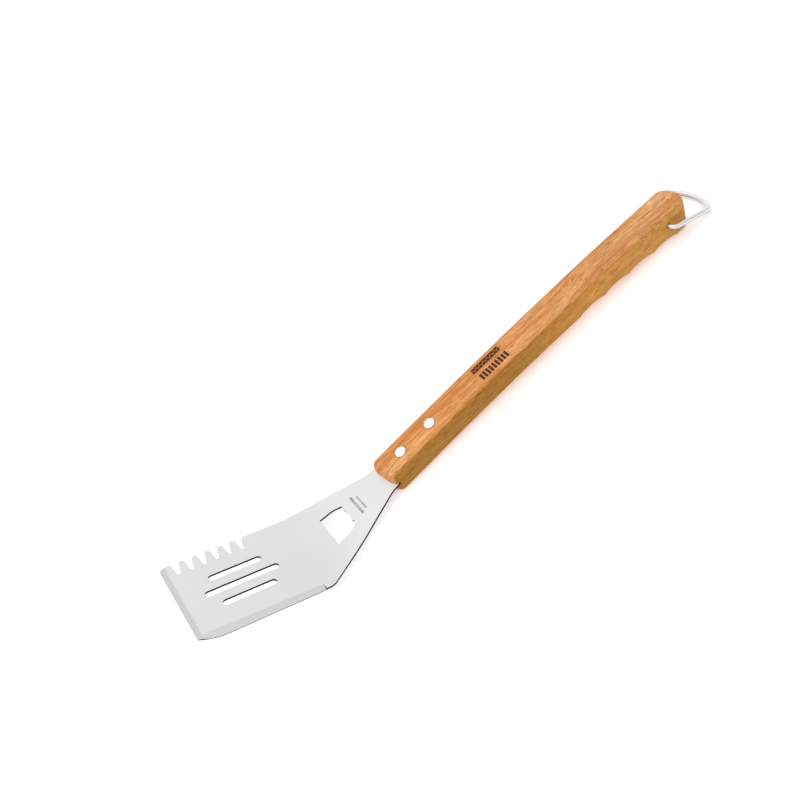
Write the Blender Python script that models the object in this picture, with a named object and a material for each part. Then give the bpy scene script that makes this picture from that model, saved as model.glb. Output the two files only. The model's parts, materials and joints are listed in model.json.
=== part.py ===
"""Grill spatula: pressed steel blade with its tang riveted into a wooden handle,
and a wire hanging loop that swings in the handle's rear end.

Everything is laid out in the handle's own frame, in millimetres: X runs from the
handle's front end to its rear, Y across, Z up from the front end of its top face.
The blade lies at negative X.  A parent empty then stands the finished spatula on
the ground, as it lies on a table: on the foot under its front end and its last finger ridge.
"""
import bpy
import bmesh
import math
from mathutils import Matrix, Vector

MM = 0.001

# Handle (one piece of wood)
HANDLE_LENGTH = 279.5
HANDLE_WIDTH = 24.0
HANDLE_FRONT_THICKNESS = 17.1
HANDLE_EXTRA_REAR_THICKNESS = 7.7
THICKENING_POWER = 3.8
TOP_DROP_SQUARE = 2.9
TOP_DROP_CUBE = 5.7
EDGE_RADIUS = 3.0
FRONT_END_RADIUS = 60.0
FRONT_CORNER_RADIUS = 5.0
FRONT_END_SLANT = 0.19
FRONT_END_SET_BACK = 0.7
FRONT_END_LEAN = 0.22
REAR_END_LEAN = 0.13
REAR_END_PIVOT_Z = -17.8
SLANT_LENGTH = 40.0
REAR_END_RADIUS = 14.5
REAR_CORNER_RADIUS = 7.0

# Low swelling under the front of the handle, whose crest stands on the table
FOOT_STATION_X = 8.0
FOOT_FRONT_X = 7.15
FOOT_REAR_X = 9.95
FOOT_RISE = 0.06
FOOT_SWELL = 0.6
FOOT_SWELL_END_X = 60.0

# Finger scallops under the rear of the handle
FIRST_RIDGE_X = 171.0
RIDGE_PITCH = 23.45
SCALLOPS = 4
SCALLOP_DEPTH = 1.8
LAST_RIDGE_X = FIRST_RIDGE_X + SCALLOPS * RIDGE_PITCH

# Sheet steel
SHEET_THICKNESS = 1.5
TANG_TOP_Z = -8.1
SHOULDER_HALF_WIDTH = 12.0
SHOULDER_X = 6.0
TANG_HALF_WIDTH = 7.4
TANG_END_X = 58.0
BEND_START_X = -30.0
BEND_RADIUS = 80.0
BEND_ANGLE = math.radians(33.8)
BEND_STEPS = 12

# Blade, on the flat pattern before bending
BLADE_FRONT_X = -155.9
BLADE_LEFT_Y = 29.4
BLADE_RIGHT_Y = -39.8
BELLY_RADIUS = 38.0
BELLY_START_X = -137.5
FRONT_GRIND_WIDTH = 4.0
SIDE_GRIND_FRONT = (-151.4, -33.6)
SIDE_GRIND_REAR = (-73.6, -35.4)
SIDE_GRIND_END_X = -71.4
EDGE_LAND = 0.5
TEETH = 6
FIRST_NOTCH_X = -146.1
NOTCH_PITCH = 8.66
NOTCH_DEPTH = 10.2
SLOT_WIDTH = 4.7
SLOT_ROWS = ((5.6, -132.5, -96.5), (-6.0, -139.3, -89.7), (-17.6, -132.5, -96.6))
OPENER_FRONT_X = -49.9
OPENER_LIP_X = -33.6
OPENER_FRONT_Y = (-13.8, 11.8)
OPENER_SIDE_HALF = 12.3
OPENER_REAR_HALF = 9.5
OPENER_LIP_HALF = 5.8
OPENER_LIP_HOLLOW = 0.8

# Rivets
RIVET_X = (20.7, 47.5)
RIVET_HEAD_RADIUS = 4.0
RIVET_HEAD_SUNK = 0.8
RIVET_HEAD_PROUD = 0.4
RIVET_UNDER_PROUD = 0.2
RIVET_SHANK_RADIUS = 2.5
RIVET_CHAMFER = 0.35

# Hanging loop
HINGE_X = 258.3
HINGE_Z = -16.0
WIRE_RADIUS = 1.75
LOOP_REACH = 39.7
LOOP_HALF_WIDTH = 16.65
LOOP_CORNER_RADIUS = 6.0
LOOP_BOW = 6.2
LOOP_ROOT_RADIUS = 4.2
LOOP_END_Y = 6.5
LOOP_DROOP = math.radians(20.9)

GAP = 0.3


# ---------- plain geometry helpers ----------

def arc(cx, cy, radius, start, end, steps):
    """Points on an arc, angles in radians, both ends included."""
    return [(cx + radius * math.cos(start + (end - start) * i / steps),
             cy + radius * math.sin(start + (end - start) * i / steps))
            for i in range(steps + 1)]


def bezier(p0, p1, p2, p3, steps):
    """Points on a cubic curve, both ends included."""
    points = []
    for i in range(steps + 1):
        t = i / steps
        weights = ((1 - t) ** 3, 3 * t * (1 - t) ** 2, 3 * t * t * (1 - t), t ** 3)
        points.append(tuple(sum(w * p[k] for w, p in zip(weights, (p0, p1, p2, p3)))
                            for k in (0, 1)))
    return points


def rounded(corners, steps=4):
    """Closed outline from (x, y, radius) corners; a zero radius keeps the corner."""
    outline = []
    count = len(corners)
    for i, (x, y, radius) in enumerate(corners):
        here = Vector((x, y))
        if radius <= 0:
            outline.append((x, y))
            continue
        back = (Vector(corners[i - 1][:2]) - here).normalized()
        ahead = (Vector(corners[(i + 1) % count][:2]) - here).normalized()
        half = back.angle(ahead) / 2
        reach = radius / math.tan(half)
        start = here + back * reach
        centre = here + (back + ahead).normalized() * (radius / math.sin(half))
        sweep = (start - centre).angle_signed(here + ahead * reach - centre)
        for k in range(steps + 1):
            turned = (start - centre).copy()
            turned.rotate(Matrix.Rotation(-sweep * k / steps, 2))
            outline.append(tuple(centre + turned))
    return outline


def new_object(name, bm, material):
    """Closes a bmesh into an object, with millimetres turned into metres."""
    bmesh.ops.scale(bm, vec=(MM, MM, MM), verts=bm.verts)
    bmesh.ops.recalc_face_normals(bm, faces=bm.faces)
    mesh = bpy.data.meshes.new(name)
    bm.to_mesh(mesh)
    bm.free()
    if material:
        mesh.materials.append(material)
    obj = bpy.data.objects.new(name, mesh)
    bpy.context.collection.objects.link(obj)
    return obj


def make_material(name, colour, roughness, metallic):
    material = bpy.data.materials.new(name)
    material.use_nodes = True
    shader = material.node_tree.nodes["Principled BSDF"]
    shader.inputs["Base Color"].default_value = (*colour, 1.0)
    shader.inputs["Roughness"].default_value = roughness
    shader.inputs["Metallic"].default_value = metallic
    return material


def smooth(obj, angle=35):
    obj.data.shade_smooth()
    obj.data.set_sharp_from_angle(angle=math.radians(angle))


def make_cutter(name, bm, body, parent):
    """A hidden tool object, taken out of the body with an exact Boolean."""
    cutter = new_object(name, bm, None)
    cutter.parent = parent
    cutter.hide_render = True
    cutter.display_type = 'WIRE'
    cut = body.modifiers.new(name, 'BOOLEAN')
    cut.operation = 'DIFFERENCE'
    cut.solver = 'EXACT'
    cut.object = cutter
    return cutter


def add_prism(bm, outline, low, high, place):
    """Extrudes a closed 2D outline between two levels; place maps (u, v, level)."""
    bottom = [bm.verts.new(place(u, v, low)) for u, v in outline]
    top = [bm.verts.new(place(u, v, high)) for u, v in outline]
    bm.faces.new(bottom)
    bm.faces.new(top)
    for i in range(len(outline)):
        j = (i + 1) % len(outline)
        bm.faces.new((bottom[i], bottom[j], top[j], top[i]))


def add_turned(bm, profile, place, sides=32):
    """Turns a (radius, height) profile whose ends lie on the axis."""
    rings = []
    for radius, height in profile:
        if radius == 0:
            rings.append([bm.verts.new(place(0, 0, height))])
        else:
            rings.append([bm.verts.new(place(radius * math.cos(2 * math.pi * k / sides),
                                             radius * math.sin(2 * math.pi * k / sides),
                                             height)) for k in range(sides)])
    for lower, upper in zip(rings, rings[1:]):
        for k in range(sides):
            j = (k + 1) % sides
            ring = [lower[k % len(lower)], lower[j % len(lower)],
                    upper[j % len(upper)], upper[k % len(upper)]]
            bm.faces.new(list(dict.fromkeys(ring)))


# ---------- handle ----------

def top_z(x):
    """The arched top face: level at the front, falling away to the rear."""
    s = min(max(x / HANDLE_LENGTH, 0.0), 1.0)
    return -(TOP_DROP_SQUARE * s ** 2 + TOP_DROP_CUBE * s ** 3)


def ridge_z(x):
    """The line through the crests of the underside."""
    x = min(x, LAST_RIDGE_X)
    s = max(x / HANDLE_LENGTH, 0.0)
    thickness = HANDLE_FRONT_THICKNESS + HANDLE_EXTRA_REAR_THICKNESS * s ** THICKENING_POWER
    return top_z(x) - thickness


def foot_z():
    return ridge_z(FOOT_REAR_X) - FOOT_SWELL


def table_slope():
    """Fall of the table under the handle, from the front foot to the last ridge."""
    return (foot_z() - ridge_z(LAST_RIDGE_X)) / (LAST_RIDGE_X - FOOT_REAR_X)


def bottom_z(x):
    """The underside: a low foot across the front, and round hollows between the ridges."""
    if x < FOOT_REAR_X:
        off_table = max(0.0, FOOT_FRONT_X - x) * FOOT_RISE
        return foot_z() + (FOOT_REAR_X - x) * table_slope() + off_table
    if x < FOOT_SWELL_END_X:
        fade = (FOOT_SWELL_END_X - x) / (FOOT_SWELL_END_X - FOOT_REAR_X)
        return ridge_z(x) - FOOT_SWELL * fade
    along = (x - FIRST_RIDGE_X) / RIDGE_PITCH
    if along <= 0 or along >= SCALLOPS:
        return ridge_z(x)
    half = RIDGE_PITCH / 2
    radius = (half ** 2 + SCALLOP_DEPTH ** 2) / (2 * SCALLOP_DEPTH)
    off_centre = (along % 1.0 - 0.5) * RIDGE_PITCH
    return ridge_z(x) + SCALLOP_DEPTH - radius + math.sqrt(radius ** 2 - off_centre ** 2)


def handle_half_outline():
    """The plan outline's +Y half, front to rear, as (x, y) points off the centre line."""
    half = HANDLE_WIDTH / 2
    front_centre_y = half - FRONT_CORNER_RADIUS
    front_centre_x = FRONT_END_RADIUS - math.sqrt(
        (FRONT_END_RADIUS - FRONT_CORNER_RADIUS) ** 2 - front_centre_y ** 2)
    front_join = math.atan2(front_centre_y, FRONT_END_RADIUS - front_centre_x)
    front = arc(FRONT_END_RADIUS, 0, FRONT_END_RADIUS, math.pi - front_join / 8,
                math.pi - front_join, 4)
    front += arc(front_centre_x, front_centre_y, FRONT_CORNER_RADIUS,
                 math.pi - front_join, math.pi / 2, 4)[1:]

    rear_centre_y = half - REAR_CORNER_RADIUS
    from_end = REAR_END_RADIUS - math.sqrt(
        (REAR_END_RADIUS - REAR_CORNER_RADIUS) ** 2 - rear_centre_y ** 2)
    rear_centre_x = HANDLE_LENGTH - from_end
    rear_join = math.atan2(rear_centre_y, REAR_END_RADIUS - from_end)
    rear = arc(rear_centre_x, rear_centre_y, REAR_CORNER_RADIUS, math.pi / 2, rear_join, 5)
    rear += arc(HANDLE_LENGTH - REAR_END_RADIUS, 0, REAR_END_RADIUS,
                rear_join, rear_join / 10, 5)[1:]

    stations = [FOOT_STATION_X + (FIRST_RIDGE_X - FOOT_STATION_X) * i / 9 for i in range(9)]
    stations += [FIRST_RIDGE_X + RIDGE_PITCH * i / 6 for i in range(SCALLOPS * 6 + 1)]
    return front + [(x, half) for x in stations if x < rear[0][0] - 1.0] + rear


def slanted(x, y):
    """Plan position with the front end's slant, which fades out along the handle."""
    fade = max(0.0, 1.0 - x / SLANT_LENGTH)
    return x + (FRONT_END_SET_BACK - FRONT_END_SLANT * y) * fade, y


def leaning(x, z):
    """Shift along X that leans the two end faces; it fades out along the handle."""
    front = max(0.0, 1.0 - x / SLANT_LENGTH) * FRONT_END_LEAN * (z - TANG_TOP_Z)
    rear = max(0.0, 1.0 - (HANDLE_LENGTH - x) / SLANT_LENGTH) * REAR_END_LEAN
    return x + front + rear * (z - REAR_END_PIVOT_Z)


def make_handle(material, parent):
    """Rings of the plan outline, drawn in towards the top and bottom edges."""
    half = handle_half_outline()
    outline = [slanted(x, y) for x, y in half + [(x, -y) for x, y in reversed(half)]]
    count = len(outline)
    inward = []
    for i, (x, y) in enumerate(outline):
        along = Vector(outline[(i + 1) % count]) - Vector(outline[i - 1])
        inward.append(Vector((along.y, -along.x)).normalized())

    bm = bmesh.new()
    rings = []
    rounding = [math.pi / 2 * k / 4 for k in range(5)]
    for side, angles in ((1, reversed(rounding)), (-1, rounding)):
        for angle in angles:
            drawn_in = EDGE_RADIUS * (1 - math.cos(angle))
            lowered = EDGE_RADIUS * (1 - math.sin(angle))
            ring = []
            for (x, y), normal in zip(outline, inward):
                px, py = x + normal.x * drawn_in, y + normal.y * drawn_in
                surface = top_z(px) if side > 0 else bottom_z(px)
                z = surface - side * lowered
                ring.append(bm.verts.new((leaning(px, z), py, z)))
            rings.append(ring)
    for upper, lower in zip(rings, rings[1:]):
        for i in range(count):
            j = (i + 1) % count
            bm.faces.new((upper[i], upper[j], lower[j], lower[i]))
    for ring in (rings[0], rings[-1]):
        for i in range(len(half) - 1):
            bm.faces.new((ring[i], ring[i + 1], ring[count - 2 - i], ring[count - 1 - i]))
    handle = new_object("handle", bm, material)
    handle.parent = parent
    smooth(handle, 40)
    cut_tang_slot(handle, parent)
    cut_rivet_holes(handle, parent)
    cut_loop_holes(handle, parent)
    return handle


def cut_tang_slot(handle, parent):
    """A saw cut across the front end, and a narrower pocket behind it."""
    low = TANG_TOP_Z - SHEET_THICKNESS - GAP
    high = TANG_TOP_Z + GAP
    reach = SHOULDER_X + 1.0
    saw = rounded([(-5, low, 0), (reach, low, 0.8), (reach, high, 0.8), (-5, high, 0)])
    bm = bmesh.new()
    add_prism(bm, saw, -HANDLE_WIDTH, HANDLE_WIDTH, lambda u, v, level: (u, level, v))
    make_cutter("saw_cut_tool", bm, handle, parent)

    side = TANG_HALF_WIDTH + 0.5
    pocket = rounded([(2.0, -side, 0), (TANG_END_X + 1.0, -side, 3),
                      (TANG_END_X + 1.0, side, 3), (2.0, side, 0)])
    bm = bmesh.new()
    add_prism(bm, pocket, low + 0.02, high - 0.02, lambda u, v, level: (u, v, level))
    make_cutter("tang_pocket_tool", bm, handle, parent)


def cut_rivet_holes(handle, parent):
    head = RIVET_HEAD_RADIUS + GAP
    shank = RIVET_SHANK_RADIUS + GAP
    for number, x in enumerate(RIVET_X, 1):
        top = top_z(x) - RIVET_HEAD_SUNK - GAP
        under = bottom_z(x) + RIVET_HEAD_SUNK + GAP
        profile = [(0, under - 10), (head, under - 10), (head, under), (shank, under),
                   (shank, top), (head, top), (head, top + 10), (0, top + 10)]
        bm = bmesh.new()
        add_turned(bm, profile, lambda u, v, level: (x + u, v, level), 32)
        make_cutter("rivet_hole_tool_%d" % number, bm, handle, parent)


def cut_loop_holes(handle, parent):
    """One blind hole in each side, on the loop's hinge axis."""
    hole = WIRE_RADIUS + 0.35
    deepest = LOOP_END_Y - 0.6
    for name, side in (("left", 1), ("right", -1)):
        profile = [(0, side * deepest), (hole, side * deepest), (hole, side * 20), (0, side * 20)]
        bm = bmesh.new()
        add_turned(bm, profile, lambda u, v, level: (HINGE_X + u, level, HINGE_Z + v), 24)
        make_cutter("loop_hole_tool_" + name, bm, handle, parent)


# ---------- blade ----------

def blade_outline():
    """The flat pattern, from the tang's left shoulder round the blade and back."""
    left, right = BLADE_LEFT_Y, BLADE_RIGHT_Y
    shoulder, tang = SHOULDER_HALF_WIDTH, TANG_HALF_WIDTH
    neck = (2.0, shoulder + 0.1)

    outline = bezier(neck, (-29.2, 18.1), (-29.5, left), (-72.0, left), 14)
    teeth = []
    for k in reversed(range(TEETH)):
        root = FIRST_NOTCH_X + NOTCH_PITCH * k
        teeth += [(root + 3.2, left, 0.9), (root + 1.0, left - NOTCH_DEPTH, 0.9),
                  (root - 1.05, left - NOTCH_DEPTH, 0.9), (root - 2.1, left, 0.9)]
    teeth += [(BLADE_FRONT_X, left, 2.3), (BLADE_FRONT_X, 0, 0)]
    outline += rounded([(-72.0, left, 0)] + teeth, 3)[1:]

    belly_y = right + BELLY_RADIUS
    tip_angle = math.asin((BLADE_FRONT_X - BELLY_START_X) / BELLY_RADIUS)
    outline += arc(BELLY_START_X, belly_y, BELLY_RADIUS, tip_angle - math.pi / 2, -math.pi / 2, 6)

    heel = (-60.0, -35.4)
    heel_rise = 0.55
    heel_x = heel[0] + (right - heel[1]) / heel_rise
    outline += rounded([(SIDE_GRIND_REAR[0], right, 0), (heel_x, right, 9), (*heel, 0)], 4)
    outline += bezier(heel, (-43.5, -25.9), (-18.0, -18.3), (-3.0, -13.0), 12)[1:]
    outline += [(0.0, -shoulder - 0.3)]
    outline += rounded([
        (neck[0], -neck[1], 0), (SHOULDER_X, -shoulder, 1.5), (SHOULDER_X, -tang, 0),
        (TANG_END_X, -tang, 3), (TANG_END_X, tang, 3), (SHOULDER_X, tang, 0),
        (SHOULDER_X, shoulder, 1.5), (*neck, 0)], 4)[1:-1]
    return outline


def opener_outline():
    """Bottle opener: a square window whose rear side is a hollowed lip."""
    front, lip, half = OPENER_FRONT_X, OPENER_LIP_X, OPENER_LIP_HALF
    radius = (half ** 2 + OPENER_LIP_HOLLOW ** 2) / (2 * OPENER_LIP_HOLLOW)
    angle = math.asin(half / radius)
    lip_arc = arc(lip + OPENER_LIP_HOLLOW - radius, 0, radius, -angle, angle, 6)
    right, left = [[(front, front_y, 0.5),
                    (front + 10.5, side * OPENER_SIDE_HALF, 14),
                    (lip + 0.7, side * OPENER_REAR_HALF, 0.6),
                    (lip + 1.1, side * (half + 1.4), 0.5)]
                   for side, front_y in zip((-1, 1), OPENER_FRONT_Y)]
    return rounded(right + [(x, y, 0) for x, y in lip_arc] + left[::-1], 4)


def slot_outline(y, front, rear):
    radius = SLOT_WIDTH / 2
    return (arc(front + radius, y, radius, math.pi / 2, 3 * math.pi / 2, 8)
            + arc(rear - radius, y, radius, -math.pi / 2, math.pi / 2, 8))


def grind_depth(x, y):
    """How far the two ground bevels sink the blade's top face at a point."""
    full = SHEET_THICKNESS - EDGE_LAND
    front = (BLADE_FRONT_X + FRONT_GRIND_WIDTH - x) / FRONT_GRIND_WIDTH
    (ax, ay), (bx, by) = SIDE_GRIND_FRONT, SIDE_GRIND_REAR
    inner_y = ay + (by - ay) * (x - ax) / (bx - ax)
    side = (inner_y - y) / (by - BLADE_RIGHT_Y)
    if x > SIDE_GRIND_END_X - 2.0:
        side = 0.0
    return full * min(max(front, side, 0.0), 1.0)


def bend(x, y, z):
    """Lays a point of the flat pattern on the bent sheet; z is above its top face."""
    if x >= BEND_START_X:
        return x, y, TANG_TOP_Z + z
    turn = min((BEND_START_X - x) / BEND_RADIUS, BEND_ANGLE)
    past = (BEND_START_X - x) - turn * BEND_RADIUS
    centre_z = TANG_TOP_Z + BEND_RADIUS
    px = BEND_START_X - (BEND_RADIUS - z) * math.sin(turn) - past * math.cos(turn)
    pz = centre_z - (BEND_RADIUS - z) * math.cos(turn) + past * math.sin(turn)
    return px, y, pz


def cut_across(bm, x, y, normal, faces=None):
    faces = faces or bm.faces[:]
    edges = {edge for face in faces for edge in face.edges}
    verts = {vert for face in faces for vert in face.verts}
    bmesh.ops.bisect_plane(bm, geom=[*verts, *edges, *faces], dist=1e-4,
                           plane_co=(x, y, 0), plane_no=normal)


def make_blade(material, parent):
    bm = bmesh.new()
    outlines = [blade_outline(), opener_outline()]
    outlines += [slot_outline(*row) for row in SLOT_ROWS]
    hole = RIVET_SHANK_RADIUS + 0.4
    outlines += [arc(x, 0, hole, 0, 2 * math.pi * 15 / 16, 15) for x in RIVET_X]
    edges = []
    for outline in outlines:
        verts = [bm.verts.new((x, y, 0)) for x, y in outline]
        edges += [bm.edges.new((verts[i - 1], verts[i])) for i in range(len(verts))]
    bmesh.ops.triangle_fill(bm, use_beauty=True, edges=edges, normal=(0, 0, 1))

    # lines where the sheet changes: bend stations, grinds and their mitre
    arc_length = BEND_RADIUS * BEND_ANGLE
    for k in range(BEND_STEPS + 1):
        cut_across(bm, BEND_START_X - arc_length * k / BEND_STEPS, 0, (1, 0, 0))
    (ax, ay), (bx, by) = SIDE_GRIND_FRONT, SIDE_GRIND_REAR
    cut_across(bm, BLADE_FRONT_X + FRONT_GRIND_WIDTH, 0, (1, 0, 0))
    cut_across(bm, ax, ay, (by - ay, ax - bx, 0))
    cut_across(bm, bx, by, (1, 0, 0))
    ground = [face for face in bm.faces if grind_depth(*face.calc_center_median()[:2]) > 0]
    cut_across(bm, ax, ay, (1, -1, 0), ground)

    sheet = bmesh.ops.extrude_face_region(bm, geom=bm.faces[:])
    lower = [item for item in sheet["geom"] if isinstance(item, bmesh.types.BMVert)]
    under = set(lower)
    for vert in bm.verts:
        x, y, _ = vert.co
        depth = SHEET_THICKNESS if vert in under else grind_depth(x, y)
        vert.co = bend(x, y, -depth)
    bmesh.ops.triangulate(bm, faces=bm.faces[:])
    blade = new_object("blade", bm, material)
    blade.parent = parent
    smooth(blade, 20)
    return blade


# ---------- rivets ----------

def make_rivet(name, x, material, parent):
    """A solid rivet with a chamfered head sunk in each face of the handle."""
    top = top_z(x) + RIVET_HEAD_PROUD
    under = bottom_z(x) - RIVET_UNDER_PROUD
    head, shank, chamfer = RIVET_HEAD_RADIUS, RIVET_SHANK_RADIUS, RIVET_CHAMFER
    under_seat = bottom_z(x) + RIVET_HEAD_SUNK
    top_seat = top_z(x) - RIVET_HEAD_SUNK
    profile = [(0, under), (head - chamfer, under), (head, under + chamfer),
               (head, under_seat), (shank, under_seat), (shank, top_seat), (head, top_seat),
               (head, top - chamfer), (head - chamfer, top), (0, top)]
    bm = bmesh.new()
    add_turned(bm, profile, lambda u, v, level: (u, v, level), 28)
    rivet = new_object(name, bm, material)
    rivet.location = (x * MM, 0, 0)
    rivet.parent = parent
    smooth(rivet, 30)
    return rivet


# ---------- hanging loop ----------

def loop_path():
    """Half of the wire's centre line about its hinge: (along the leg, across)."""
    wide, corner = LOOP_HALF_WIDTH, LOOP_CORNER_RADIUS
    bow_radius = (wide ** 2 + LOOP_BOW ** 2) / (2 * LOOP_BOW)
    bow_centre = LOOP_REACH - bow_radius
    corner_x = bow_centre + math.sqrt((bow_radius - corner) ** 2 - (wide - corner) ** 2)
    join = math.atan2(wide - corner, corner_x - bow_centre)
    half = [(0, LOOP_END_Y)]
    half += arc(LOOP_ROOT_RADIUS, wide - LOOP_ROOT_RADIUS, LOOP_ROOT_RADIUS,
                math.pi, math.pi / 2, 7)
    half += [(corner_x * 0.5, wide)]
    half += arc(corner_x, wide - corner, corner, math.pi / 2, join, 6)
    half += arc(bow_centre, 0, bow_radius, join, 0, 7)[1:]
    return half


def make_loop(material, parent):
    half = loop_path()
    path = half + [(x, -y) for x, y in reversed(half[:-1])]
    curve = bpy.data.curves.new("hanging_loop", 'CURVE')
    curve.dimensions = '3D'
    curve.bevel_depth = WIRE_RADIUS * MM
    curve.bevel_resolution = 3
    curve.use_fill_caps = True
    spline = curve.splines.new('POLY')
    spline.points.add(len(path) - 1)
    for point, (x, y) in zip(spline.points, path):
        point.co = (x * MM, y * MM, 0, 1)
    curve.materials.append(material)
    loop = bpy.data.objects.new("hanging_loop", curve)
    bpy.context.collection.objects.link(loop)
    loop.location = (HINGE_X * MM, 0, HINGE_Z * MM)
    loop.rotation_euler = (0, LOOP_DROOP, 0)
    loop.parent = parent
    return loop


# ---------- assembly ----------

def stand_on_ground(frame, pieces):
    """Moves the whole spatula so its box stands on the ground over the origin."""
    graph = bpy.context.evaluated_depsgraph_get()
    corners = []
    for piece in pieces:
        evaluated = piece.evaluated_get(graph)
        mesh = evaluated.to_mesh()
        corners += [evaluated.matrix_world @ vert.co for vert in mesh.vertices]
        evaluated.to_mesh_clear()
    for axis in (0, 1):
        low = min(c[axis] for c in corners)
        high = max(c[axis] for c in corners)
        frame.location[axis] -= (low + high) / 2
    frame.location[2] -= min(c[2] for c in corners)


def main():
    for obj in list(bpy.data.objects):
        bpy.data.objects.remove(obj, do_unlink=True)

    wood = make_material("oiled_wood", (0.62, 0.30, 0.11), 0.5, 0.0)
    steel = make_material("satin_steel", (0.75, 0.75, 0.74), 0.32, 1.0)
    aluminium = make_material("rivet_aluminium", (0.88, 0.88, 0.88), 0.3, 1.0)
    plated = make_material("plated_wire", (0.78, 0.78, 0.78), 0.22, 1.0)

    frame = bpy.data.objects.new("spatula_frame", None)
    bpy.context.collection.objects.link(frame)
    frame.rotation_euler = (0, -math.atan(table_slope()), 0)

    pieces = [make_handle(wood, frame), make_blade(steel, frame)]
    for name, x in zip(("rivet_front", "rivet_rear"), RIVET_X):
        pieces.append(make_rivet(name, x, aluminium, frame))
    pieces.append(make_loop(plated, frame))
    stand_on_ground(frame, pieces)


main()
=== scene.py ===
import json
import math

import bpy
from mathutils import Matrix, Vector


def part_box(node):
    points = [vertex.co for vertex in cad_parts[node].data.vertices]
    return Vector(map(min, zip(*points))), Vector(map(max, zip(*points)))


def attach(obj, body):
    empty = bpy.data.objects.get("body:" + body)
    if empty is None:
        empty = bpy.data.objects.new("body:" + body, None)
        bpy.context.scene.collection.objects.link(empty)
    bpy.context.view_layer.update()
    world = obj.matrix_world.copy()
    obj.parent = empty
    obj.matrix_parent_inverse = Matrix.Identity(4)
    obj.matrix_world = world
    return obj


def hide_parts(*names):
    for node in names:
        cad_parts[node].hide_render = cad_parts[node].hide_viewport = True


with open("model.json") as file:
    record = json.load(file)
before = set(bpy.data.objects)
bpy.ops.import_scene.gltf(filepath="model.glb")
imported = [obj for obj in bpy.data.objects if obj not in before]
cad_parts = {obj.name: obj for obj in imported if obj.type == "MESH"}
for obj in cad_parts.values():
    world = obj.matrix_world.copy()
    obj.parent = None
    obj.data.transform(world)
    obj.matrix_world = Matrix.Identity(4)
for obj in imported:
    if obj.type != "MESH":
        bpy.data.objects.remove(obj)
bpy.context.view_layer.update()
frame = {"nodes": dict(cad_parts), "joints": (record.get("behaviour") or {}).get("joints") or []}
mm = 0.001
mergeWithin = 0.000002
flatWithin = 0.4    # degrees; flatter edges of a copied CAD mesh are dissolved

# the handle's own frame: X from its front end to its rear, Z up from the front of its top face
handleFrame = dict(pitch=math.radians(2.9464), hingeAt=Vector((258.3, 0.0, -16.0)))
handleTurn = Matrix.Rotation(-handleFrame["pitch"], 3, 'Y')
hinge = Vector(frame["joints"][0]["pos_m"])
handleOrigin = hinge - handleTurn @ (handleFrame["hingeAt"] * mm)


def plug(tree, slot, value):
    if isinstance(value, Signal):
        tree.links.new(value.out, slot)
    else:
        slot.default_value = value


class Signal:
    # a socket that takes part in Python expressions
    def __init__(self, tree, out):
        self.tree = tree
        self.out = out

    def maths(self, operation, first, second=0.0, clamp=False):
        node = self.tree.nodes.new("ShaderNodeMath")
        node.operation = operation
        node.use_clamp = clamp
        plug(self.tree, node.inputs[0], first)
        plug(self.tree, node.inputs[1], second)
        return Signal(self.tree, node.outputs[0])

    def __add__(self, other):
        return self.maths('ADD', self, other)

    def __radd__(self, other):
        return self.maths('ADD', other, self)

    def __sub__(self, other):
        return self.maths('SUBTRACT', self, other)

    def __rsub__(self, other):
        return self.maths('SUBTRACT', other, self)

    def __mul__(self, other):
        return self.maths('MULTIPLY', self, other)

    def __rmul__(self, other):
        return self.maths('MULTIPLY', other, self)

    def __truediv__(self, other):
        return self.maths('DIVIDE', self, other)

    def __lt__(self, other):
        return self.maths('LESS_THAN', self, other)

    def __gt__(self, other):
        return self.maths('GREATER_THAN', self, other)

    def __abs__(self):
        return self.maths('ABSOLUTE', self)

    def sine(self):
        return self.maths('SINE', self)

    def root(self):
        return self.maths('SQRT', self)

    def zigzag(self, pitch):
        return self.maths('PINGPONG', self, pitch)

    def clamped(self):
        return self.maths('ADD', self, 0.0, clamp=True)

    def ramp(self, start, length):
        # 0 up to the start, 1 from the start plus the length
        return ((self - start) / length).clamped()

    def beyond(self, start, contrast):
        # 0 up to the start, then rising with the given contrast to 1
        return ((self - start) * contrast).clamped()


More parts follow.
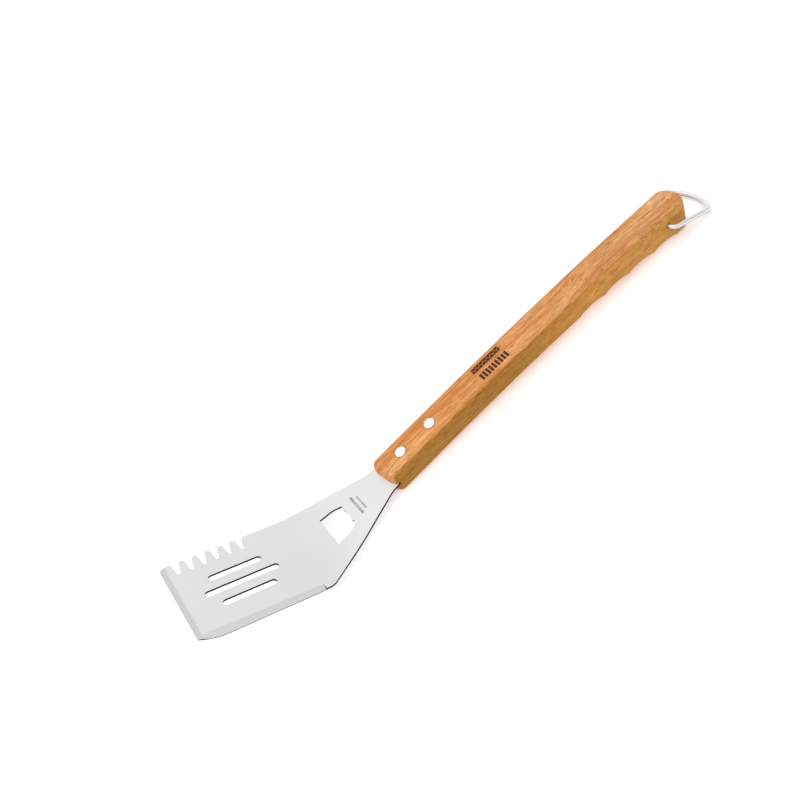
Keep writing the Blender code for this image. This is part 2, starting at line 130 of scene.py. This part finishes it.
class Finish:
    # one material, with its Principled shader
    def __init__(self, name, **constants):
        self.material = bpy.data.materials.new(name)
        self.material.use_nodes = True
        self.tree = self.material.node_tree
        self.shader = self.tree.nodes["Principled BSDF"]
        for socket, value in constants.items():
            self.shader.inputs[socket.replace("_", " ")].default_value = value

    def node(self, kind, settings=None, inputs=None, output=0):
        node = self.tree.nodes.new(kind)
        for key, value in (settings or {}).items():
            if key == "stops":
                ramp = node.color_ramp
                while len(ramp.elements) < len(value):
                    ramp.elements.new(0.5)
                for element, (place, colour) in zip(ramp.elements, value):
                    element.position = place
                    element.color = (*colour, 1.0)
            else:
                setattr(node, key, value)
        for key, value in (inputs or {}).items():
            plug(self.tree, node.inputs[key], value)
        return Signal(self.tree, node.outputs[output])

    def places(self, origin=(0, 0, 0), pitch=0.0):
        # object coordinates in mm, moved and turned into a piece's own frame
        back = Matrix.Rotation(pitch, 3, 'Y') @ -Vector(origin)
        at = self.node("ShaderNodeTexCoord", output="Object")
        at = self.node("ShaderNodeMapping", None,
                       {"Vector": at, "Location": back, "Rotation": (0, pitch, 0)})
        return self.stretched(at, (1000, 1000, 1000))

    def stretched(self, vector, scale):
        return self.node("ShaderNodeVectorMath", {"operation": 'MULTIPLY'},
                         {0: vector, 1: scale})

    def axes(self, vector):
        split = self.node("ShaderNodeSeparateXYZ", None, {"Vector": vector})
        return [Signal(self.tree, out) for out in split.out.node.outputs]

    def noise(self, vector, scale, detail=2.0, roughness=0.5, distortion=0.0):
        # the scale is how often the noise changes per mm along each axis
        return self.node("ShaderNodeTexNoise", None, {
            "Vector": self.stretched(vector, scale), "Scale": 1.0, "Detail": detail,
            "Roughness": roughness, "Distortion": distortion})

    def mixed(self, factor, first, second, blend='MIX'):
        return self.node("ShaderNodeMix", {"data_type": 'RGBA', "blend_type": blend},
                         {0: factor, 6: first, 7: second}, output=2)

    def bump(self, height, distance, strength):
        relief = self.node("ShaderNodeBump", None,
                           {"Height": height, "Distance": distance, "Strength": strength})
        plug(self.tree, self.shader.inputs["Normal"], relief)

    def feed(self, **sockets):
        for socket, value in sockets.items():
            plug(self.tree, self.shader.inputs[socket.replace("_", " ")], value)

    def grey(self, value, blueness=1.0):
        # a grey whose value varies; below 1 the blueness makes it a touch warm
        blue = value if blueness == 1.0 else value * blueness
        return self.node("ShaderNodeCombineColor", None,
                         {"Red": value, "Green": value, "Blue": blue})


def deselectAll():
    if bpy.context.mode != 'OBJECT':
        bpy.ops.object.mode_set(mode='OBJECT')
    bpy.ops.object.select_all(action='DESELECT')


def makeActive(piece):
    deselectAll()
    piece.select_set(True)
    bpy.context.view_layer.objects.active = piece


def copyOfNode(node, name):
    # a merged copy of a CAD node's mesh, as a new piece to work on
    piece = bpy.data.objects.new(name, frame["nodes"][node].data.copy())
    bpy.context.scene.collection.objects.link(piece)
    piece.data.materials.clear()
    makeActive(piece)
    bpy.ops.object.mode_set(mode='EDIT')
    bpy.ops.mesh.select_all(action='SELECT')
    bpy.ops.mesh.customdata_custom_splitnormals_clear()
    bpy.ops.mesh.remove_doubles(threshold=mergeWithin)
    bpy.ops.mesh.dissolve_limited(angle_limit=math.radians(flatWithin))
    bpy.ops.object.mode_set(mode='OBJECT')
    return piece


def applyModifier(piece, kind, **settings):
    makeActive(piece)
    modifier = piece.modifiers.new(kind.title(), kind)
    for key, value in settings.items():
        setattr(modifier, key, value)
    bpy.ops.object.modifier_apply(modifier=modifier.name)


def softenEdges(piece, width, angle, segments):
    applyModifier(piece, 'BEVEL', width=width, segments=segments, limit_method='ANGLE',
                  angle_limit=math.radians(angle), use_clamp_overlap=True)


def shadeByAngle(piece, angle):
    makeActive(piece)
    bpy.ops.object.shade_smooth_by_angle(angle=math.radians(angle))
    applyModifier(piece, 'WEIGHTED_NORMAL', keep_sharp=True, weight=80)


def pickFaces(piece, wanted):
    # ends in edit mode with just the wanted faces selected
    bpy.ops.object.mode_set(mode='OBJECT')
    for edge in piece.data.edges:
        edge.select = False
    for vert in piece.data.vertices:
        vert.select = False
    for face in piece.data.polygons:
        face.select = bool(wanted(face))
    bpy.ops.object.mode_set(mode='EDIT')
    bpy.ops.mesh.select_mode(type='FACE')


def placed(piece):
    # the place goes into the mesh, and faces point outwards
    bpy.ops.object.mode_set(mode='EDIT')
    bpy.ops.mesh.select_all(action='SELECT')
    bpy.ops.mesh.remove_doubles(threshold=mergeWithin)
    bpy.ops.mesh.normals_make_consistent(inside=False)
    bpy.ops.object.mode_set(mode='OBJECT')
    makeActive(piece)
    bpy.ops.object.transform_apply(location=True, rotation=True, scale=True)


woodHandle = dict(
    edgeWidth=0.25 * mm, edgeAngle=50, smoothAngle=42,
    darkGrain=(0.505, 0.148, 0.030), midGrain=(0.695, 0.280, 0.080),
    paleGrain=(0.870, 0.460, 0.190), pore=(0.200, 0.060, 0.017),
    rearTint=(0.92, 1.02, 1.22), endTint=(1.05, 1.08, 1.15),
    # the side tints are darker and more olive: partly another cut of the grain, partly painted
    # shade
    sideFrontGrainAndShade=(0.58, 0.635, 0.23), sideRearGrainAndShade=(0.88, 0.91, 0.52),
    rearFrom=90.0, rearBlend=180.0, sideRearFrom=110.0, sideRearBlend=80.0,
    sideStarts=9.9, sideBlend=0.9, frontEnd=2.2, frontSlant=0.19, rearEnd=277.0,
    poreStarts=0.59, poreContrast=9.0, poreDepth=0.70,
    streakStarts=0.56, streakContrast=6.0, streakDepth=0.36, sideStreakLoss=0.24,
    roughness=0.52, relief=0.06 * mm,
    # how often each figure changes per mm: along the handle, across it and through it
    grain=dict(drift=(0.011, 0.02, 0.02), tone=(0.007, 0.10, 0.10), bands=(0.013, 0.42, 0.36),
               streaks=(0.035, 1.0, 0.9), fibres=(0.075, 1.9, 1.7), pores=(0.15, 1.9, 1.8),
               specks=(0.9, 1.5, 1.5), patches=(0.014, 0.25, 0.25)))

burntMark = dict(
    colour=(0.055, 0.016, 0.006), depth=0.96, lowest=-6.0, frayScale=(1.6, 1.6, 1.6), fray=0.7,
    band=dict(x=104.2, y=5.2, halfLength=12.4, halfHeight=2.3),
    zigzag=dict(pitch=1.7, steepness=1.3, halfWidth=0.27),
    bars=dict(x=105.2, y=-3.5, halfLength=12.3, halfHeight=3.0, pitch=2.8, width=0.34))


def burntMask(wood, place):
    # a plain grill pattern: a dark band with a light zigzag over a row of upright bars
    x, y, z = wood.axes(place)
    fray = (wood.noise(place, burntMark["frayScale"], 2.0) - 0.5) * burntMark["fray"]
    band, zigzag, bars = burntMark["band"], burntMark["zigzag"], burntMark["bars"]

    u, v = x - band["x"], y - band["y"]
    inBand = (abs(u) + fray < band["halfLength"]) * (abs(v) + fray * 0.6 < band["halfHeight"])
    line = (u.zigzag(zigzag["pitch"]) - zigzag["pitch"] / 2) * zigzag["steepness"]
    offLine = abs(v - line) > zigzag["halfWidth"]
    u, v = x - bars["x"], y - bars["y"]
    inBars = (abs(u) < bars["halfLength"]) * (abs(v) + fray < bars["halfHeight"])
    stripes = (u + fray * 0.5).zigzag(bars["pitch"] / 2) < bars["pitch"] * bars["width"]
    onTop = z > burntMark["lowest"]
    return (inBand * offLine + inBars * stripes).clamped() * onTop


def oiledWood():
    look, grain = woodHandle, woodHandle["grain"]
    wood = Finish("oiledWood", Specular_IOR_Level=0.2)
    place = wood.places(handleOrigin, handleFrame["pitch"])
    x, y, _ = wood.axes(place)

    # the grain wanders a little across the handle as it runs along it
    drift = wood.noise(place, grain["drift"], 1.0) - 0.5
    sway = wood.node("ShaderNodeCombineXYZ", None, {"Y": drift * 16.0, "Z": drift * 9.0})
    grainPlace = wood.node("ShaderNodeVectorMath", {"operation": 'ADD'}, {0: place, 1: sway})

    tone = wood.noise(grainPlace, grain["tone"], 2.0)
    bands = wood.noise(grainPlace, grain["bands"], 3.0, 0.55, 0.3)
    streaks = wood.noise(grainPlace, grain["streaks"], 3.0, 0.6)
    fibres = wood.noise(grainPlace, grain["fibres"], 3.0, 0.7)
    pores = wood.noise(grainPlace, grain["pores"], 2.0, 0.5)
    specks = wood.noise(place, grain["specks"], 3.0, 0.7)
    patches = wood.noise(grainPlace, grain["patches"], 2.0)
    poreMask = (pores + (patches - 0.5) * 0.35).beyond(look["poreStarts"], look["poreContrast"])
    longDark = (streaks + (bands - 0.5) * 0.5).beyond(look["streakStarts"],
                                                      look["streakContrast"])

    # broad bands of colour, fine fibres over them, then dark streaks and pores
    onSide = abs(y).ramp(look["sideStarts"], look["sideBlend"])
    depth = (tone * 0.45 + bands * 0.55 - 0.5) * (2.1 - onSide * 1.3) + 0.5
    stops = [(0.12, look["darkGrain"]), (0.5, look["midGrain"]), (0.88, look["paleGrain"])]
    colour = wood.node("ShaderNodeValToRGB", {"stops": stops}, {"Fac": depth.clamped()})
    shade = (fibres - 0.5) * 1.9 + (streaks - 0.5) * 0.5 + onSide * (specks - 0.5) * 1.1
    shadeColour = wood.node("ShaderNodeCombineColor", None, {
        "Red": 1.0 + shade * 0.75, "Green": 1.0 + shade, "Blue": 1.0 + shade * 1.3})
    colour = wood.mixed(1.0, colour, shadeColour, 'MULTIPLY')
    pore = (*look["pore"], 1.0)
    streakDepth = look["streakDepth"] - onSide * look["sideStreakLoss"]
    colour = wood.mixed(longDark * streakDepth, colour, pore)
    colour = wood.mixed(poreMask * look["poreDepth"], colour, pore)

    # the rear is cooler, the sides get another cut of the grain plus painted shade, and the ends
    # are paler
    rear = x.ramp(look["rearFrom"], look["rearBlend"])
    colour = wood.mixed(rear, colour, (*look["rearTint"], 1.0), 'MULTIPLY')
    # painted shade on the sides: they are darkened as if less lit, on top of their own grain
    # tone
    sideGrainAndShade = wood.mixed(x.ramp(look["sideRearFrom"], look["sideRearBlend"]),
                          (*look["sideFrontGrainAndShade"], 1.0), (*look["sideRearGrainAndShade"], 1.0))
    colour = wood.mixed(onSide, colour, sideGrainAndShade, 'MULTIPLY')
    onFrontEnd = (look["frontEnd"] - (x + y * look["frontSlant"])).clamped()
    onRearEnd = (x - look["rearEnd"]).clamped()
    colour = wood.mixed(onFrontEnd + onRearEnd, colour, (*look["endTint"], 1.0), 'MULTIPLY')

    burnt = burntMask(wood, place)
    colour = wood.mixed(burnt * burntMark["depth"], colour, (*burntMark["colour"], 1.0))
    roughness = look["roughness"] + (fibres - 0.5) * 0.16 + poreMask * 0.12 + burnt * 0.2
    wood.feed(Base_Color=colour, Roughness=roughness)
    wood.bump(fibres * 0.25 - poreMask - longDark * 0.3 - burnt * 1.5, look["relief"], 0.7)
    return wood.material


def makeHandle():
    handle = copyOfNode("handle", "woodHandle")
    softenEdges(handle, woodHandle["edgeWidth"], woodHandle["edgeAngle"], 2)
    shadeByAngle(handle, woodHandle["smoothAngle"])
    handle.data.materials.append(oiledWood())
    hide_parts("handle")
    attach(handle, "spatula")


bladeSheet = dict(
    bendStart=-30.0, bendRadius=80.0, bendAngle=math.radians(33.8), tangTop=-8.1,
    edgeWidth=0.1 * mm, edgeAngle=40, smoothAngle=8,
    flatCosine=0.992, groundCosine=0.80,    # how level a flat and a ground face lie
    satin=0.715, satinRoughness=0.46, ground=0.64, groundRoughness=0.30,
    frontGrindAt=-217.3, frontGrindShade=0.90,
    # the sheared edges' near-black value is mostly painted shade; the real edge is only a little
    # darker
    shadedShearedEdge=0.018, shearedRoughness=0.5, shearedGlint=(0.12, 0.12, 0.12, 1.0),
    etchShade=0.62, tickGap=0.16,
    marks=(dict(x=-24.6, halfHeight=0.95, low=-7.9, high=9.4, pitch=1.45),
           dict(x=-20.9, halfHeight=0.70, low=-6.6, high=6.4, pitch=1.15)))


def sheetNormal(point):
    # which way the sheet's top face looks at a point: level tang, round bend, sloping blade
    local = handleTurn.inverted() @ (Vector(point) - handleOrigin) / mm
    ahead = max(0.0, bladeSheet["bendStart"] - local.x)
    sine = min(ahead / bladeSheet["bendRadius"], math.sin(bladeSheet["bendAngle"]))
    turn = math.asin(sine)
    return handleTurn @ Vector((math.sin(turn), 0.0, math.cos(turn)))


def etchedMask(steel, place):
    # two short rows of plain ticks on the neck
    x, y, z = steel.axes(place)
    wander = (steel.noise(place, (0.1, 1.1, 0.1), 0.0) - 0.5) * 1.2
    total = 0.0
    for row in bladeSheet["marks"]:
        middle = (row["low"] + row["high"]) / 2
        alongRow = abs(y - middle) < row["high"] - middle
        inRow = (abs(x - row["x"]) < row["halfHeight"]) * alongRow
        ticks = (y + wander).zigzag(row["pitch"] / 2)
        total = inRow * (ticks > row["pitch"] * bladeSheet["tickGap"]) + total
    return total * (z > bladeSheet["tangTop"] - 0.7)


def satinSteel():
    steel = Finish("satinSteel", Metallic=1.0)
    place = steel.places(handleOrigin, handleFrame["pitch"])
    clouds = steel.noise(place, (0.018, 0.03, 0.02), 2.0)
    brushed = steel.noise(place, (0.10, 6.0, 6.0), 2.0, 0.6)
    etched = etchedMask(steel, place)
    value = bladeSheet["satin"] * (0.975 + clouds * 0.05)
    value = value * (1.0 - etched * bladeSheet["etchShade"])
    roughness = bladeSheet["satinRoughness"] + (brushed - 0.5) * 0.08 + etched * 0.15
    steel.feed(Base_Color=steel.grey(value, 0.995), Roughness=roughness)
    steel.bump(brushed, 0.004 * mm, 0.5)
    return steel.material


def groundSteel():
    # the wheel leaves fine lines straight across the bevel
    steel = Finish("groundSteel", Metallic=1.0)
    place = steel.places()
    lines = steel.noise(place, (1.2, 5.0, 1.2), 3.0, 0.7)
    onFront = steel.axes(place)[0] < bladeSheet["frontGrindAt"]
    value = bladeSheet["ground"] * (0.93 + lines * 0.14)
    value = value * (1.0 - onFront * (1.0 - bladeSheet["frontGrindShade"]))
    steel.feed(Base_Color=steel.grey(value),
               Roughness=bladeSheet["groundRoughness"] + lines * 0.14)
    steel.bump(lines, 0.006 * mm, 0.6)
    return steel.material


def shearedSteelWithPaintedShade():
    # pressed-out edges, a little darker and rougher, painted nearly black as painted shade, with
    # short drag lines
    steel = Finish("shearedSteelWithPaintedShade", Metallic=0.9, Specular_Tint=bladeSheet["shearedGlint"])
    drag = steel.noise(steel.places(), (3.0, 3.0, 0.9), 3.0, 0.7)
    value = bladeSheet["shadedShearedEdge"] * (0.6 + drag * 0.8)
    steel.feed(Base_Color=steel.grey(value),
               Roughness=bladeSheet["shearedRoughness"] + drag * 0.2)
    steel.bump(drag, 0.02 * mm, 0.5)
    return steel.material


def makeBlade():
    blade = copyOfNode("blade", "steelBlade")
    softenEdges(blade, bladeSheet["edgeWidth"], bladeSheet["edgeAngle"], 1)
    shadeByAngle(blade, bladeSheet["smoothAngle"])
    flat, ground, shadedShearedEdge = 0, 1, 2
    for finish in (satinSteel(), groundSteel(), shearedSteelWithPaintedShade()):
        blade.data.materials.append(finish)
    for face in blade.data.polygons:
        level = abs(face.normal.dot(sheetNormal(face.center)))
        if level > bladeSheet["flatCosine"]:
            face.material_index = flat
        elif level >= bladeSheet["groundCosine"]:
            face.material_index = ground
        else:
            face.material_index = shadedShearedEdge
    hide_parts("blade")
    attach(blade, "spatula")


solidRivet = dict(
    headRadius=4.0 * mm, shankRadius=2.5 * mm, headDepths={1: 1.2 * mm, -1: 1.0 * mm},
    rim=0.35 * mm, rimSteps=4, roundSides=64, smoothAngle=50,
    colour=(0.86, 0.86, 0.855), scuffColour=(0.76, 0.76, 0.76), roughness=0.30)


def rivetAluminium(name, centre):
    # faint turning rings about the rivet's axis
    metal = Finish(name, Metallic=1.0)
    place = metal.places(centre, handleFrame["pitch"])
    x, y, _ = metal.axes(place)
    radius = (x * x + y * y).root()
    rings = (radius * 21.0).sine()
    scuffs = metal.noise(place, (0.9, 0.9, 0.9), 3.0, 0.6)
    colour = metal.mixed(scuffs * 0.25, (*solidRivet["colour"], 1.0),
                         (*solidRivet["scuffColour"], 1.0))
    metal.feed(Base_Color=colour, Roughness=solidRivet["roughness"] + scuffs * 0.16)
    metal.bump(rings * 0.4 + scuffs, 0.006 * mm, 0.5)
    return metal.material


def turnedRivet(name, low, high):
    # a plain shank; each end is drawn out to a head, raised, and its rim rounded
    depths = solidRivet["headDepths"]
    axis = handleTurn @ Vector((0, 0, 1))
    tilt = handleFrame["pitch"]
    length = (high.z - low.z - 2 * solidRivet["headRadius"] * math.sin(tilt)) / math.cos(tilt)
    shank = length - sum(depths.values())
    middle = (low + high) / 2 + axis * (depths[-1] - depths[1]) / 2
    deselectAll()
    bpy.ops.mesh.primitive_cylinder_add(
        vertices=solidRivet["roundSides"], radius=solidRivet["shankRadius"], depth=shank,
        location=middle, rotation=(0, -tilt, 0))
    rivet = bpy.context.object
    rivet.name = name
    bpy.ops.object.transform_apply(location=True, rotation=True, scale=True)
    spread = solidRivet["headRadius"] / solidRivet["shankRadius"]
    nearEnd = shank * 0.4995
    for side, depth in depths.items():
        out = axis * side
        pickFaces(rivet, lambda face: (face.center - middle).dot(out) > nearEnd)
        bpy.ops.mesh.extrude_region_move()
        bpy.ops.transform.resize(value=(spread, spread, spread),
                                 center_override=middle + out * shank / 2)
        bpy.ops.mesh.extrude_region_move(TRANSFORM_OT_translate={"value": out * depth})
        bpy.ops.mesh.bevel(offset=solidRivet["rim"], segments=solidRivet["rimSteps"],
                           affect='EDGES')
        bpy.ops.object.mode_set(mode='OBJECT')
    placed(rivet)
    shadeByAngle(rivet, solidRivet["smoothAngle"])
    return rivet


def makeRivets():
    # the handle's thickness differs at the two, so each has its own length
    for name, node in (("rivetFront", "rivet_front"), ("rivetRear", "rivet_rear")):
        low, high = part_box(node)
        rivet = turnedRivet(name, low, high)
        rivet.data.materials.append(rivetAluminium(name + "Aluminium", (low + high) / 2))
        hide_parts(node)
        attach(rivet, "spatula")


wireLoop = dict(
    wireRadius=1.75, endAt=6.5, reach=39.6, halfWidth=16.65, rootRadius=4.2,
    cornerRadius=6.0, bow=6.2, droop=math.radians(20.9) - handleFrame["pitch"],
    roundSides=24, bendSteps=14, bowSteps=36, smoothAngle=50,
    colour=(0.83, 0.83, 0.83), dullColour=(0.76, 0.76, 0.76), roughness=0.42,
    # the wire's lower side is painted nearly black: painted shade and a painted dark reflection
    underside=(0.05, 0.05, 0.05), undersideStarts=0.25, undersideBlend=0.45,
    undersideDepth=0.9)


def platedWire():
    wire = Finish("platedWire", Metallic=1.0)
    place = wire.places(hinge, -wireLoop["droop"])
    downwards = wire.axes(place)[2] * -1.0
    # painted shade: the lower side of the wire is darkened towards the painted underside colour
    below = downwards.ramp(wireLoop["undersideStarts"], wireLoop["undersideBlend"])
    drawn = wire.noise(place, (0.25, 3.0, 3.0), 2.0, 0.6)
    dull = wire.noise(place, (0.12, 0.12, 0.12), 2.0)
    colour = wire.mixed(dull, (*wireLoop["colour"], 1.0), (*wireLoop["dullColour"], 1.0))
    colour = wire.mixed(below * wireLoop["undersideDepth"], colour,
                        (*wireLoop["underside"], 1.0))
    wire.feed(Base_Color=colour, Roughness=wireLoop["roughness"] + (drawn - 0.5) * 0.12)
    wire.bump(drawn, 0.01 * mm, 0.5)
    return wire.material


def makeLoop():
    # the wire's round section is drawn along straights and spun round the bends
    size = wireLoop
    along = Vector((math.cos(size["droop"]), 0.0, -math.sin(size["droop"])))
    across = Vector((0.0, 1.0, 0.0))
    upright = along.cross(across)

    def at(reach, side):
        return hinge + (along * reach + across * side) * mm

    def straight(direction, length):
        bpy.ops.mesh.extrude_region_move(
            TRANSFORM_OT_translate={"value": direction * length * mm})

    def bend(centre, degrees, steps=size["bendSteps"]):
        bpy.ops.mesh.spin(steps=steps, angle=math.radians(degrees), center=centre, axis=upright)

    # the far side is a shallow bow that meets each leg in a rounded corner
    bowRadius = (size["halfWidth"] ** 2 + size["bow"] ** 2) / (2 * size["bow"])
    bowCentre = size["reach"] - bowRadius
    inner = size["halfWidth"] - size["cornerRadius"]
    cornerAt = bowCentre + math.sqrt((bowRadius - size["cornerRadius"]) ** 2 - inner ** 2)
    bowHalf = math.degrees(math.atan2(inner, cornerAt - bowCentre))
    rootAt = size["halfWidth"] - size["rootRadius"]
    stub = rootAt - size["endAt"]
    leg = cornerAt - size["rootRadius"]

    deselectAll()
    bpy.ops.mesh.primitive_circle_add(
        vertices=size["roundSides"], radius=size["wireRadius"] * mm, fill_type='NGON',
        location=at(0, size["endAt"]), rotation=(math.radians(90), 0, 0))
    loop = bpy.context.object
    loop.name = "wireLoop"
    bpy.ops.object.transform_apply(location=True, rotation=True, scale=True)
    bpy.ops.object.mode_set(mode='EDIT')
    bpy.ops.mesh.select_mode(type='FACE')
    bpy.ops.mesh.select_all(action='SELECT')
    straight(across, stub)
    bend(at(size["rootRadius"], rootAt), 90)
    straight(along, leg)
    bend(at(cornerAt, inner), 90 - bowHalf)
    bend(at(bowCentre, 0), 2 * bowHalf, size["bowSteps"])
    bend(at(cornerAt, -inner), 90 - bowHalf)
    straight(-along, leg)
    bend(at(size["rootRadius"], -rootAt), 90)
    straight(across, stub)
    placed(loop)
    shadeByAngle(loop, size["smoothAngle"])
    loop.data.materials.append(platedWire())
    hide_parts("hanging_loop")
    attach(loop, "hanging_loop")


studio = dict(
    cameraAt=(-0.09091, -0.36984, 0.44936), cameraTurn=(37.6263, 24.4242, -36.4600),
    lens=39.034, sensorWidth=36.0, nearest=0.01,
    floorSize=24.0, floorHeight=-0.2 * mm, floorGlow=0.30,
    floorColour=(0.93, 0.93, 0.93), floorCloud=(0.9, 0.9, 0.9),
    frontGlow=0.42, backGlow=1.12, skyGlow=1.06,
    backFrom=-0.35, backBlend=0.9, skyFrom=0.15, skyBlend=0.7,
    keySize=2.2, keyPower=7.0, keyAt=(-0.75, -0.1, 1.5))
white = (1.0, 1.0, 1.0, 1.0)


def paleFloor():
    deselectAll()
    bpy.ops.mesh.primitive_plane_add(size=studio["floorSize"],
                                     location=(0, 0, studio["floorHeight"]))
    floor = bpy.context.object
    floor.name = "floor"
    paper = Finish("paleFloor", Roughness=0.9, Emission_Strength=studio["floorGlow"])
    cloud = paper.noise(paper.places(), (0.002, 0.002, 0.002), 1.0)
    colour = paper.mixed(cloud * 0.05, (*studio["floorColour"], 1.0),
                         (*studio["floorCloud"], 1.0))
    paper.feed(Base_Color=colour, Emission_Color=white)
    floor.data.materials.append(paper.material)


def softRoom():
    # an even pale room, dimmer towards the viewer, so sides that face there fall into soft shade
    world = bpy.data.worlds.new("softRoom")
    bpy.context.scene.world = world
    world.use_nodes = True
    tree = world.node_tree
    coordinates = tree.nodes.new("ShaderNodeTexCoord")
    split = tree.nodes.new("ShaderNodeSeparateXYZ")
    tree.links.new(coordinates.outputs["Generated"], split.inputs[0])
    y, z = Signal(tree, split.outputs["Y"]), Signal(tree, split.outputs["Z"])
    back = y.ramp(studio["backFrom"], studio["backBlend"])
    sky = z.ramp(studio["skyFrom"], studio["skyBlend"])
    glow = studio["frontGlow"] + back * (studio["backGlow"] - studio["frontGlow"])
    glow = glow * (1.0 - sky) + sky * studio["skyGlow"]
    background = tree.nodes["Background"]
    plug(tree, background.inputs["Strength"], glow)
    background.inputs["Color"].default_value = white


def keyLight():
    light = bpy.data.lights.new("softKey", 'AREA')
    light.shape = 'SQUARE'
    light.size = studio["keySize"]
    light.energy = studio["keyPower"]
    lamp = bpy.data.objects.new("softKey", light)
    bpy.context.scene.collection.objects.link(lamp)
    lamp.location = studio["keyAt"]
    lamp.rotation_euler = (-Vector(studio["keyAt"])).to_track_quat('-Z', 'Y').to_euler()


def setCamera():
    camera = bpy.data.objects.new("camera", bpy.data.cameras.new("camera"))
    bpy.context.scene.collection.objects.link(camera)
    camera.location = studio["cameraAt"]
    camera.rotation_euler = [math.radians(angle) for angle in studio["cameraTurn"]]
    camera.data.lens = studio["lens"]
    camera.data.sensor_width = studio["sensorWidth"]
    camera.data.clip_start = studio["nearest"]
    bpy.context.scene.camera = camera
    bpy.context.scene.view_settings.view_transform = 'Standard'


print("stage 1: handle")
makeHandle()
print("stage 2: blade")
makeBlade()
print("stage 3: rivets")
makeRivets()
print("stage 4: hanging loop")
makeLoop()
print("stage 5: studio")
paleFloor()
softRoom()
keyLight()
setCamera()
